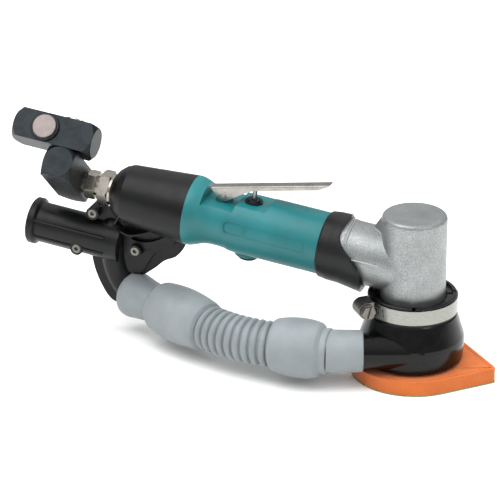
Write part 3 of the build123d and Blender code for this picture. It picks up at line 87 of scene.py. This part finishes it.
def select_faces(piece, wanted):
    """Selects the faces for which wanted(face) is true, in edit mode."""
    bpy.ops.object.mode_set(mode="EDIT")
    bpy.ops.mesh.select_mode(type="FACE")
    bpy.ops.mesh.select_all(action="DESELECT")
    mesh = bmesh.from_edit_mesh(piece.data)
    for face in mesh.faces:
        face.select_set(bool(wanted(face)))
    bmesh.update_edit_mesh(piece.data)


# ------------------------------------------------------------------ materials
def linear(code):
    """An sRGB hex colour as linear RGBA."""
    parts = [int(code[i : i + 2], 16) / 255 for i in (1, 3, 5)]
    return [p / 12.92 if p <= 0.04045 else ((p + 0.055) / 1.055) ** 2.4 for p in parts] + [1.0]


def add_node(tree, kind, inputs=None, **settings):
    """A node with its settings, and its sockets given values or links."""
    made = tree.nodes.new(kind)
    for key, value in settings.items():
        setattr(made, key, value)
    for key, value in (inputs or {}).items():
        if isinstance(value, bpy.types.NodeSocket):
            tree.links.new(value, made.inputs[key])
        else:
            made.inputs[key].default_value = value
    return made


def per_mm(size):
    """The scale that makes a pattern's features this many mm across."""
    return 1 / (size * MM)


def start(name):
    """An empty material, its node tree and its object coordinates."""
    material = bpy.data.materials.new(name)
    material.use_nodes = True
    tree = material.node_tree
    tree.nodes.clear()
    place = add_node(tree, "ShaderNodeTexCoord").outputs["Object"]
    return material, tree, place


def noise(tree, place, size, detail=2.0, rough=0.5, stretch=None):
    """Noise with features of that size in mm, drawn out along one axis if asked."""
    if stretch:
        place = add_node(tree, "ShaderNodeMapping", {"Vector": place, "Scale": stretch}).outputs[0]
    inputs = {"Vector": place, "Scale": per_mm(size), "Detail": detail, "Roughness": rough}
    return add_node(tree, "ShaderNodeTexNoise", inputs).outputs["Fac"]


def remap(tree, value, low, high, to_low, to_high):
    """The value with low to high spread over to_low to to_high."""
    inputs = {"Value": value, "From Min": low, "From Max": high, "To Min": to_low, "To Max": to_high}
    return add_node(tree, "ShaderNodeMapRange", inputs).outputs[0]


def mix(tree, amount, a, b):
    """Mixes two colours, each a hex code or a socket."""
    made = add_node(tree, "ShaderNodeMix", data_type="RGBA")
    for socket, value in ((made.inputs[0], amount), (made.inputs[6], a), (made.inputs[7], b)):
        if isinstance(value, bpy.types.NodeSocket):
            tree.links.new(value, socket)
        else:
            socket.default_value = linear(value) if isinstance(value, str) else value
    return made.outputs[2]


def bump(tree, height, depth, normal=None):
    """Bump whose full height is that many mm."""
    inputs = {"Height": height, "Distance": depth * MM, "Strength": 1.0}
    if normal:
        inputs["Normal"] = normal
    return add_node(tree, "ShaderNodeBump", inputs).outputs[0]


def worn_edges(tree, soft):
    """1 along outer edges, where the rounded normal leaves the true one."""
    true = add_node(tree, "ShaderNodeNewGeometry").outputs["Normal"]
    dot = add_node(tree, "ShaderNodeVectorMath", operation="DOT_PRODUCT")
    tree.links.new(soft, dot.inputs[0])
    tree.links.new(true, dot.inputs[1])
    return remap(tree, dot.outputs["Value"], 0.985, 0.90, 0.0, 1.0)


def close(material, tree, inputs):
    """Ends the material with a Principled shader that takes these inputs."""
    shader = add_node(tree, "ShaderNodeBsdfPrincipled", inputs)
    add_node(tree, "ShaderNodeOutputMaterial", {"Surface": shader.outputs[0]})
    return material


def moulded(
    name, base, pale, rough, grain=0.35, depth=0.012, edge=0.35, sheen=0.0, coat=0.0, shine=0.5
):
    """Moulded plastic or rubber: eroded grain, slow colour drift, handling shine, softened edges."""
    material, tree, place = start(name)
    soft = add_node(tree, "ShaderNodeBevel", {"Radius": edge * MM}, samples=6).outputs[0]
    drift = remap(tree, noise(tree, place, 22, 3), 0.35, 0.7, 0.0, 1.0)
    speck = remap(tree, noise(tree, place, 1.4, 4, 0.6), 0.35, 0.75, 0.0, 0.35)
    colour = mix(tree, drift, base, pale)
    colour = mix(tree, speck, colour, base)
    colour = mix(tree, remap(tree, worn_edges(tree, soft), 0, 1, 0, 0.25), colour, pale)
    gloss = remap(tree, noise(tree, place, 6, 4, 0.65), 0.3, 0.7, rough - 0.06, rough + 0.08)
    fine = bump(tree, noise(tree, place, grain, 3, 0.6), depth, soft)
    waves = bump(tree, noise(tree, place, 9, 2), depth * 4, fine)
    return close(
        material, tree,
        {"Base Color": colour, "Roughness": gloss, "Normal": waves, "Sheen Weight": sheen,
         "Coat Weight": coat, "Coat Roughness": 0.08, "Specular IOR Level": shine},
    )


def machined(
    name, base, dark, rough, grain=0.25, depth=0.004, stretch=(1, 1, 14), edge=0.25, wear=None
):
    """Turned or ground metal: fine tool marks, faint stains and bright edges."""
    material, tree, place = start(name)
    soft = add_node(tree, "ShaderNodeBevel", {"Radius": edge * MM}, samples=6).outputs[0]
    marks = noise(tree, place, grain * 8, 3, 0.7, stretch)
    stain = remap(tree, noise(tree, place, 8, 5, 0.65), 0.45, 0.75, 0.0, 0.6)
    colour = mix(tree, stain, base, dark)
    if wear:
        colour = mix(tree, worn_edges(tree, soft), colour, wear)
    gloss = remap(tree, marks, 0.3, 0.7, rough - 0.07, rough + 0.09)
    fine = bump(tree, marks, depth, soft)
    return close(
        material, tree,
        {"Base Color": colour, "Metallic": 1.0, "Roughness": gloss, "Normal": fine},
    )


# Sand-cast aluminium, tumbled: sparkling fine grain over soft hollows, with slightly rubbed edges.
def cast_metal():
    material, tree, place = start("cast aluminium, sand cast and tumbled")
    soft = add_node(tree, "ShaderNodeBevel", {"Radius": 0.8 * MM}, samples=8).outputs[0]
    pattern = {"Vector": place, "Scale": per_mm(1.0), "Randomness": 1.0}
    pits = add_node(tree, "ShaderNodeTexVoronoi", pattern).outputs[0]
    grain = noise(tree, place, 0.7, 6, 0.7)
    drift = remap(tree, noise(tree, place, 12, 4), 0.3, 0.75, 0.0, 1.0)
    colour = mix(tree, drift, "#A6A9A9", "#929696")
    colour = mix(tree, remap(tree, grain, 0.42, 0.68, 0.0, 0.85), colour, "#6A6E6E")
    colour = mix(tree, worn_edges(tree, soft), colour, "#C4C7C6")
    gloss = remap(tree, grain, 0.3, 0.7, 0.30, 0.52)
    coarse = bump(tree, noise(tree, place, 3.2, 3), 0.05, soft)
    fine = bump(tree, grain, 0.08, coarse)
    pitted = bump(tree, pits, 0.03, fine)
    return close(
        material, tree,
        {"Base Color": colour, "Metallic": 0.82, "Roughness": gloss, "Normal": pitted},
    )


# Open-cell polyurethane foam, cut with a knife: fine pores with painted shade darkening their hollows, and
# a slightly paler worn skin.
def foam():
    material, tree, place = start("polyurethane foam, open cell and cut")
    pores = add_node(tree, "ShaderNodeTexVoronoi", {"Vector": place, "Scale": per_mm(0.8)}).outputs[0]
    big = add_node(tree, "ShaderNodeTexVoronoi", {"Vector": place, "Scale": per_mm(2.1)}).outputs[0]
    fuzz = noise(tree, place, 0.5, 5, 0.7)
    colour = mix(tree, remap(tree, noise(tree, place, 14, 3), 0.3, 0.7, 0, 1), "#B95812", "#C7661E")
    # The pore hollows are painted darker: painted shade inside the pores.
    colour = mix(tree, remap(tree, pores, 0.05, 0.45, 0.55, 0.0), colour, "#984312")
    colour = mix(tree, remap(tree, fuzz, 0.5, 0.8, 0.0, 0.4), colour, "#DA8C54")
    low = bump(tree, big, 0.10)
    fine = bump(tree, pores, 0.16, low)
    rough = bump(tree, fuzz, 0.05, fine)
    return close(
        material, tree,
        {"Base Color": colour, "Roughness": 0.85, "Normal": rough, "Subsurface Weight": 0.15,
         "Subsurface Radius": (0.002, 0.001, 0.0006), "Sheen Weight": 0.25},
    )


# Hook facing under the pad: a green-grey cloth of crossed yarns, with painted shade darkening the gaps
# between the yarns.
def facing():
    material, tree, place = start("nylon hook facing, woven")
    waves = []
    for axis in ("X", "Y"):
        inputs = {"Vector": place, "Scale": per_mm(0.8) / 6.28, "Distortion": 1.0}
        waves.append(add_node(tree, "ShaderNodeTexWave", inputs, bands_direction=axis).outputs["Fac"])
    weave = add_node(tree, "ShaderNodeMath", {0: waves[0], 1: waves[1]}, operation="MAXIMUM").outputs[0]
    # The colour follows the yarn height: darker between the yarns is painted shade, paler on the yarn
    # crests.
    colour = mix(tree, weave, "#4C5A3A", "#8A9668")
    raised = bump(tree, weave, 0.12)
    return close(material, tree, {"Base Color": colour, "Roughness": 0.9, "Normal": raised})


# Drawn spring-steel strip of the clamp: streaks run round the band.
def strip_metal():
    material, tree, place = start("stainless strip, rolled and slotted")
    soft = add_node(tree, "ShaderNodeBevel", {"Radius": 0.2 * MM}, samples=6).outputs[0]
    streak = noise(tree, place, 3.0, 4, 0.7, (1, 1, 22))
    colour = mix(tree, remap(tree, streak, 0.35, 0.7, 0, 1), "#9D9E98", "#7F807A")
    colour = mix(tree, worn_edges(tree, soft), colour, "#C6C7C1")
    gloss = remap(tree, streak, 0.3, 0.7, 0.18, 0.34)
    fine = bump(tree, streak, 0.003, soft)
    return close(
        material, tree,
        {"Base Color": colour, "Metallic": 1.0, "Roughness": gloss, "Normal": fine},
    )


finishes = {
    "cast_aluminium": cast_metal(),
    # Machined alloy steel, lightly oiled.
    "steel": machined("steel, turned", "#9C9B97", "#6E6C68", 0.32),
    "motor_steel": machined("steel, ground and oiled", "#85847F", "#5A5853", 0.30),
    "bearing_steel": machined("bearing steel, ground", "#B4B3AF", "#8B8A86", 0.16),
    # Stamped lever, tumbled to a satin shine.
    "lever_steel": machined(
        "steel sheet, stamped and tumbled", "#A09D98", "#75726D", 0.27, stretch=(1, 16, 16)
    ),
    "nickel_plate": machined(
        "brass, turned and nickel plated", "#ABA69D", "#7C776D", 0.20, stretch=(14, 1, 1)
    ),
    "band_steel": strip_metal(),
    "clamp_steel": machined(
        "steel, pressed and passivated", "#77746F", "#4B4946", 0.34, wear="#A5A29B"
    ),
    "plug_metal": machined("aluminium, faced on a lathe", "#877E7B", "#746B69", 0.42, depth=0.010),
    # Glass-filled nylon in teal, from an eroded tool.
    "teal_plastic": moulded(
        "teal nylon, moulded with an eroded grain", "#086064", "#0F6F73", 0.42, 0.45, 0.016
    ),
    "black_plastic": moulded(
        "black nylon, moulded", "#0A0A0B", "#141516", 0.36, 0.5, 0.020, shine=0.25
    ),
    "shroud_rubber": moulded(
        "black rubber, moulded and glossy", "#040404", "#080808", 0.20, 0.8, 0.006, shine=0.25
    ),
    "boot_rubber": moulded(
        "black rubber, moulded and satin", "#0A0A0B", "#151617", 0.38, 0.4, 0.014, shine=0.3
    ),
    "swivel_black": machined(
        "aluminium, black anodised", "#303437", "#1C1F20", 0.42, 0.4, 0.012, wear="#5A5957"
    ),
    "hose_rubber": moulded(
        "grey thermoplastic rubber, blow moulded", "#777E81", "#878E91", 0.50, 0.6, 0.010, 0.5, 0.10
    ),
    "pad_foam": foam(),
    "pad_facing": facing(),
    "backing": moulded("black nylon, pressed sheet", "#1C1C1D", "#2B2B2C", 0.5),
    "vane_plastic": moulded("phenolic laminate, sawn", "#5B4126", "#735435", 0.6),
    "seal_rubber": moulded("nitrile rubber, moulded", "#0C0C0C", "#181818", 0.45),
    "brass": machined("brass, woven wire", "#B9974D", "#7F6632", 0.35),
}

node_slots = {entry["node"]: entry["material_slot"] for entry in frame["record"]["subparts"]}
for name, part in nodes.items():
    part.data.materials.clear()
    part.data.materials.append(finishes[node_slots[name]])


def dress(piece, name, slot, body):
    """Names the piece, gives it its finish and puts it on its body."""
    piece.name = name
    piece.data.name = name
    piece.data.materials.clear()
    piece.data.materials.append(finishes[slot])
    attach(piece, body)


# ------------------------------------------------------------------ foam pad
PAD_LOW, PAD_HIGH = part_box("pad_foam")
PAD_RADIUS = (PAD_HIGH.y - PAD_LOW.y) / 2
PAD_CENTRE = PAD_LOW.x + PAD_RADIUS
CORNER_ROUND = 3.0 * MM
PAD_SIDES = 160
GROOVE_DEPTH = 0.45 * MM
CELL_SIZE = 1.6 * MM
CELL_DEPTH = 0.28 * MM
TOUCHING = 1e-5

deselect()
bpy.ops.mesh.primitive_circle_add(
    vertices=PAD_SIDES, radius=PAD_RADIUS, fill_type="NGON", location=(PAD_CENTRE, 0, PAD_LOW.z)
)
pad = bpy.context.object
only(pad)
bpy.ops.object.transform_apply(location=True, rotation=True, scale=True)
quarter = math.pi / 4
corner_centre = (PAD_RADIUS - CORNER_ROUND) * math.sqrt(2)
for vertex in pad.data.vertices:
    turn = math.atan2(vertex.co.y, vertex.co.x - PAD_CENTRE)
    if abs(turn) < quarter:
        reach = PAD_RADIUS / math.cos(quarter - abs(turn))
        across = corner_centre * math.sin(turn)
        if reach * math.cos(turn) > corner_centre + CORNER_ROUND * math.cos(quarter):
            # The corner is an arc about a centre on the pad's axis.
            reach = corner_centre * math.cos(turn) + math.sqrt(CORNER_ROUND**2 - across**2)
        vertex.co.x = PAD_CENTRE + reach * math.cos(turn)
        vertex.co.y = reach * math.sin(turn)
thickness = PAD_HIGH.z - PAD_LOW.z
bpy.ops.object.mode_set(mode="EDIT")
bpy.ops.mesh.select_all(action="SELECT")
bpy.ops.mesh.extrude_region_move(TRANSFORM_OT_translate={"value": (0, 0, thickness)})
select_faces(pad, lambda f: abs(f.calc_center_median().z - PAD_HIGH.z) < TOUCHING)
# Two rings keep the edge flat, and two more sink a groove that runs parallel to it.
bpy.ops.mesh.inset(thickness=0.5 * MM)
bpy.ops.mesh.inset(thickness=1.6 * MM)
bpy.ops.mesh.inset(thickness=0.3 * MM, depth=-GROOVE_DEPTH)
bpy.ops.mesh.inset(thickness=0.3 * MM, depth=GROOVE_DEPTH)
# The inner face becomes a ring round the backing plate's recess.
plate_low, plate_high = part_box("backing_plate")
plate_radius = (plate_high.y - plate_low.y) / 2 + 0.02 * MM
bpy.ops.mesh.delete(type="FACE")
bpy.ops.mesh.primitive_circle_add(
    vertices=PAD_SIDES, radius=plate_radius, location=(PAD_CENTRE, 0, PAD_HIGH.z)
)
bpy.ops.mesh.select_mode(type="EDGE")
bpy.ops.mesh.select_all(action="DESELECT")
bpy.ops.mesh.select_non_manifold(extend=False)
bpy.ops.mesh.bridge_edge_loops()
bpy.ops.mesh.select_all(action="DESELECT")
bpy.ops.mesh.select_non_manifold(extend=False)
bpy.ops.mesh.extrude_region_move(TRANSFORM_OT_translate={"value": (0, 0, plate_low.z - PAD_HIGH.z)})
bpy.ops.mesh.edge_face_add()
select_faces(pad, lambda f: abs(f.calc_center_median().z - PAD_LOW.z) < TOUCHING)
bpy.ops.mesh.inset(thickness=0.6 * MM)
bpy.ops.object.mode_set(mode="OBJECT")
modify(
    pad, "BEVEL", width=0.45 * MM, segments=2, limit_method="ANGLE", angle_limit=math.radians(50)
)
# The walls get rows, and then cells big enough to see move in and out.
select_faces(pad, lambda f: abs(f.normal.z) < 0.3)
bpy.ops.mesh.subdivide(number_cuts=5)
bpy.ops.object.mode_set(mode="OBJECT")
cells = bpy.data.textures.new("foam cells", "CLOUDS")
cells.noise_scale = CELL_SIZE
cells.noise_depth = 2
only(pad)
displace = pad.modifiers.new("Cells", "DISPLACE")
displace.texture = cells
displace.texture_coords = "LOCAL"
displace.mid_level = 0.9
displace.strength = CELL_DEPTH
bpy.ops.object.modifier_apply(modifier="Cells")
settle(pad, 40)
dress(pad, "foam_pad", "pad_foam", "pad")
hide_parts("pad_foam")

# ------------------------------------------------------------------ hose bellows
BELLOWS_REAR = Vector((-0.121736, -0.030792, 0.0227))
BELLOWS_FRONT = Vector((-0.077503, -0.039911, 0.0227))
REAR_HEADING = Vector((0.89805, -0.43989, 0))
FRONT_HEADING = Vector((0.99881, 0.04885, 0))
BELLOWS_LENGTH = 45.65 * MM
RIDGES = 9
ROWS_PER_RIDGE = 11
VALLEY, RIDGE = 11.9 * MM, 14.2 * MM
RIDGE_SHARE = 0.80       # of the pitch that a ridge takes
HOSE_WALL = 1.4 * MM
# A bezier's handle of this length follows an arc of this turn.
turn = math.acos(REAR_HEADING.dot(FRONT_HEADING))
handle = 4 / 3 * math.tan(turn / 4) * BELLOWS_LENGTH / turn

deselect()
bpy.ops.mesh.primitive_cylinder_add(
    vertices=96, radius=VALLEY, depth=BELLOWS_LENGTH, end_fill_type="NOTHING",
    location=(BELLOWS_LENGTH / 2, 0, 0), rotation=(0, math.pi / 2, 0),
)
bellows = bpy.context.object
only(bellows)
bpy.ops.object.transform_apply(location=True, rotation=True, scale=True)
bpy.ops.object.mode_set(mode="EDIT")
bpy.ops.mesh.select_mode(type="EDGE")
bpy.ops.mesh.select_all(action="DESELECT")
mesh = bmesh.from_edit_mesh(bellows.data)
for edge in mesh.edges:
    edge.select_set(abs(edge.verts[0].co.x - edge.verts[1].co.x) > BELLOWS_LENGTH / 2)
bmesh.update_edit_mesh(bellows.data)
bpy.ops.mesh.subdivide(number_cuts=RIDGES * ROWS_PER_RIDGE - 1)
bpy.ops.object.mode_set(mode="OBJECT")
for vertex in bellows.data.vertices:
    phase = (vertex.co.x / BELLOWS_LENGTH * RIDGES) % 1.0
    across = min(1.0, abs(phase - 0.5) / (RIDGE_SHARE / 2))
    swell = VALLEY + (RIDGE - VALLEY) * (1 - across**2.4) ** 0.55
    vertex.co.y *= swell / VALLEY
    vertex.co.z *= swell / VALLEY
modify(bellows, "SOLIDIFY", thickness=HOSE_WALL, offset=-1)
deselect()
bpy.ops.curve.primitive_bezier_curve_add()
bend = bpy.context.object
first, last = bend.data.splines[0].bezier_points
for point, place, heading in (
    (first, BELLOWS_REAR, REAR_HEADING), (last, BELLOWS_FRONT, FRONT_HEADING)
):
    point.handle_left_type = point.handle_right_type = "FREE"
    point.co = place
    point.handle_left = place - heading * handle
    point.handle_right = place + heading * handle
bend.data.resolution_u = 64
bend.data.twist_mode = "Z_UP"
modify(bellows, "CURVE", object=bend, deform_axis="POS_X")
bpy.data.objects.remove(bend)
settle(bellows, 60)
dress(bellows, "ribbed_hose", "hose_rubber", "housing")
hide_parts("hose_bellows")

# ------------------------------------------------------------------ raised frames on the grip
RISE = math.radians(6.5)
REARWARD = Vector((-math.cos(RISE), 0, math.sin(RISE)))
ABOVE = Vector((math.sin(RISE), 0, math.cos(RISE)))
HANDLE_ORIGIN = Vector((0, 0, 0.070))
GRIP_RADIUS = 19.4 * MM
FRAME_WIDTH = 0.55
FRAME_LIFT = 0.22
FRAME_ROOT = 0.3         # how deep a frame is set into the grip


def grip_frame(name, near, far, low, high, corner):
    """A raised rounded outline wrapped onto the grip's right side, in mm along and up the handle."""
    deselect()
    bpy.ops.mesh.primitive_plane_add(size=MM)
    ring = bpy.context.object
    ring.scale = (far - near, high - low, 1)
    ring.location = ((near + far) / 2 * MM, (low + high) / 2 * MM, 0)
    only(ring)
    bpy.ops.object.transform_apply(location=True, rotation=True, scale=True)
    bpy.ops.object.mode_set(mode="EDIT")
    bpy.ops.mesh.select_all(action="SELECT")
    bpy.ops.mesh.bevel(affect="VERTICES", offset=corner * MM, segments=6)
    bpy.ops.mesh.select_all(action="SELECT")
    bpy.ops.mesh.inset(thickness=FRAME_WIDTH * MM)
    bpy.ops.mesh.delete(type="FACE")
    bpy.ops.mesh.select_all(action="SELECT")
    bpy.ops.mesh.subdivide(number_cuts=4)
    bpy.ops.object.mode_set(mode="OBJECT")
    modify(ring, "SOLIDIFY", thickness=(FRAME_LIFT + FRAME_ROOT) * MM, offset=1)
    modify(
        ring, "BEVEL", width=0.12 * MM, segments=2, limit_method="ANGLE", angle_limit=math.radians(60)
    )
    for vertex in ring.data.vertices:
        along, up, out = vertex.co
        radius = GRIP_RADIUS - FRAME_ROOT * MM + out
        side = -radius * math.cos(up / GRIP_RADIUS)
        place = HANDLE_ORIGIN + REARWARD * along + ABOVE * (radius * math.sin(up / GRIP_RADIUS))
        vertex.co = (place.x, side, place.z)
    settle(ring, 40)
    dress(ring, name, "teal_plastic", "housing")


grip_frame("grip_frame_long", 65.5, 103.5, -0.6, 7.6, 1.0)
grip_frame("grip_frame_short", 104.6, 118.5, -0.6, 7.6, 3.2)

# ------------------------------------------------------------------ floor, lights, camera
deselect()
bpy.ops.mesh.primitive_plane_add(size=8.0, location=(0, 0, 0))
floor = bpy.context.object
floor.name = "floor"
floor_material, floor_tree, floor_place = start("paper sweep, matte white")
drift = remap(floor_tree, noise(floor_tree, floor_place, 300, 2), 0.4, 0.6, 0, 1)
shade = mix(floor_tree, drift, "#F4F4F3", "#F7F7F6")
close(floor_material, floor_tree, {"Base Color": shade, "Roughness": 0.9})
floor.data.materials.append(floor_material)

bpy.context.scene.view_settings.view_transform = "Standard"
# A white tent that is bright overhead and dim near the floor.
world = bpy.data.worlds.new("studio")
bpy.context.scene.world = world
world.use_nodes = True
sky = world.node_tree
sky.nodes.clear()
heading = add_node(sky, "ShaderNodeTexCoord").outputs["Generated"]
height = add_node(sky, "ShaderNodeSeparateXYZ", {"Vector": heading}).outputs["Z"]
strength = remap(sky, height, -0.05, 0.75, 0.22, 1.05)
tent = add_node(sky, "ShaderNodeBackground", {"Color": (1, 1, 1, 1), "Strength": strength})
add_node(sky, "ShaderNodeOutputWorld", {"Surface": tent.outputs[0]})

TARGET = Vector((-0.10621, 0.00142, 0.06392))


def light(name, where, size, power, glossy=True):
    """A square area light aimed at the middle of the tool."""
    lamp = bpy.data.lights.new(name, "AREA")
    lamp.size = size
    lamp.energy = power
    made = bpy.data.objects.new(name, lamp)
    bpy.context.scene.collection.objects.link(made)
    made.location = where
    made.rotation_euler = (TARGET - Vector(where)).to_track_quat("-Z", "Y").to_euler()
    made.visible_glossy = glossy


light("key", (-0.65, -0.55, 1.4), 1.2, 11)
light("strip", (0.75, -0.5, 0.75), 0.35, 1.6)
light("fill", (0.0, 0.1, 1.7), 2.0, 34, glossy=False)

azimuth, elevation = math.radians(19.75), math.radians(24.0)
CAMERA_REACH = 1.8
view = Vector(
    (math.sin(azimuth) * math.cos(elevation), -math.cos(azimuth) * math.cos(elevation), math.sin(elevation))
)
lens = bpy.data.cameras.new("camera")
lens.sensor_width = 36
lens.lens = 208.8
lens.clip_end = 20
camera = bpy.data.objects.new("camera", lens)
bpy.context.scene.collection.objects.link(camera)
camera.location = TARGET + view * CAMERA_REACH
camera.rotation_euler = view.to_track_quat("Z", "Y").to_euler()
bpy.context.scene.camera = camera
